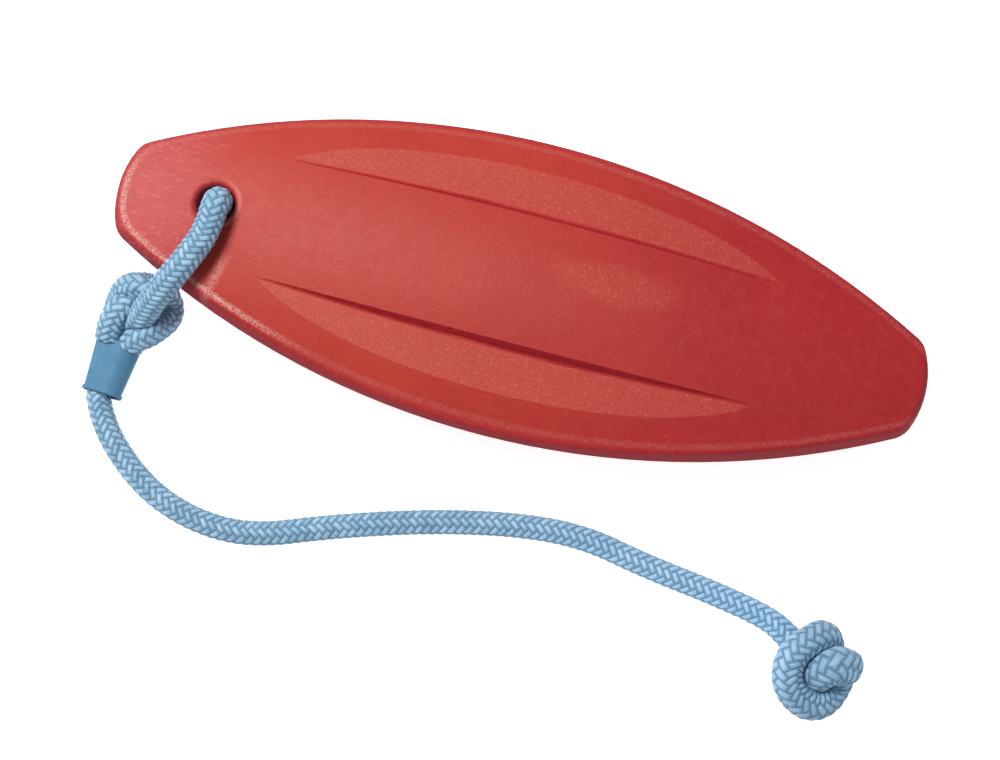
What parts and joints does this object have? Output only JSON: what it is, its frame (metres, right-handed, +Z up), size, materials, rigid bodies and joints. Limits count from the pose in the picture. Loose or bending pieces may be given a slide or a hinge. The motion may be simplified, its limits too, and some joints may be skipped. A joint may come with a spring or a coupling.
{
  "type": "floating retrieving toy",
  "caption": "Surfboard-shaped moulded float with scooped facets either side of its spine, and a braided rope lanyard through its tail, clamped by a sleeve and ending in a knot.",
  "frame": {"origin": "on the ground, below the middle of the float", "axes": "+X along the float towards its nose, -X towards the tail with the lanyard hole, +Y across the float away from the free rope, +Z up from the flat of the underside"},
  "size_m": [0.2535, 0.147, 0.0371],
  "materials": {
    "float_skin": "satin, slightly mottled moulded skin",
    "foam": "closed-cell foam",
    "rope": "braided",
    "sleeve": "satin"
  },
  "bodies": {
    "float": {"float_skin": "float_skin", "foam_core": "foam"},
    "lanyard": {"lanyard_loop": "rope", "hitch": "rope", "clamp_sleeve": "sleeve", "standing_strand": "rope", "short_end": "rope", "lanyard_tail": "rope", "end_knot": "rope"}
  },
  "joints": [
    {"name": "lanyard_swing", "type": "hinge", "parent": "float", "child": "lanyard", "pos_m": [-0.094, 0, 0.017], "axis": [0, 0, 1], "range_deg": [-25, 8]}
  ]
}
